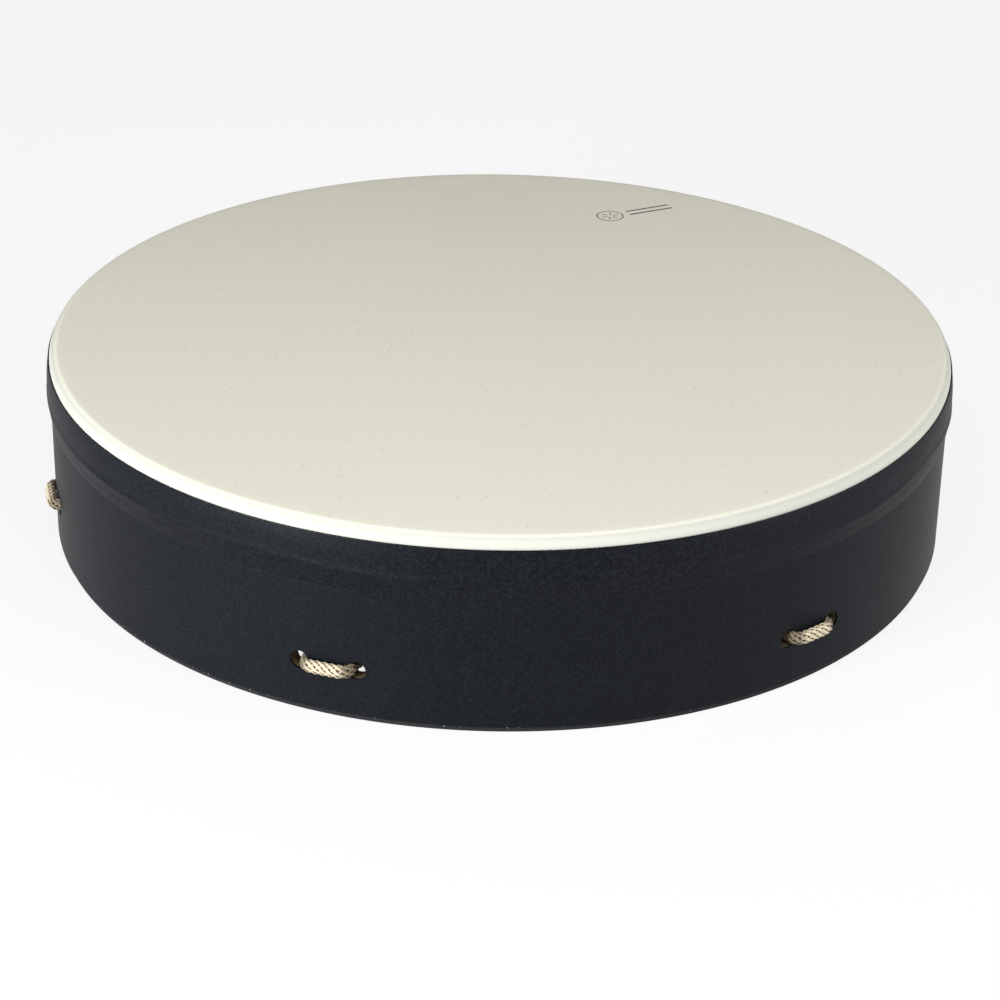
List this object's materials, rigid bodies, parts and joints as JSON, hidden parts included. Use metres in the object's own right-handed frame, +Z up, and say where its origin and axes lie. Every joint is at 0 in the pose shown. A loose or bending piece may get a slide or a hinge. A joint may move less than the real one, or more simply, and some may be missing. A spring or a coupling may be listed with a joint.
{
  "type": "frame drum",
  "caption": "Shallow round frame drum with one cream head, a black covered shell and a laced rope handle on a ring across its open side.",
  "frame": {"origin": "on the drum's axis, in the plane of the open rim that it stands on", "axes": "+Z up along the drum's axis from the open rim to the head; the first pair of lacing holes is centred at 19.5 degrees from -Y towards -X, and the other five follow at 58 to 61 degrees from each other"},
  "size_m": [0.4127, 0.4094, 0.0889],
  "materials": {
    "shell_fibre": "dark dyed wood-fibre laminate, matt, bare on the inside and along the open rim",
    "black_covering": "blue-black satin covering with a fine pebbled grain",
    "cream_head": "cream fibre-faced film, matt, with sparse fine tan flecks",
    "damping_felt": "thin off-white non-woven felt",
    "hoop_steel": "plain flat steel strip, hidden under the edge band",
    "braided_cord": "braided cream and tan cord with dark gaps between its strands",
    "ring_steel": "welded round-bar ring, satin",
    "waxed_twine": "thin brown waxed twine, wound tight"
  },
  "bodies": {
    "root": {"shell": "shell_fibre", "side_covering": "black_covering", "drumhead": "cream_head", "damping_layer": "damping_felt", "tension_hoop": "hoop_steel", "edge_band": "black_covering", "lacing_cord": "braided_cord", "centre_ring": "ring_steel", "end_seizing_1": "waxed_twine", "end_seizing_2": "waxed_twine"}
  },
  "joints": []
}
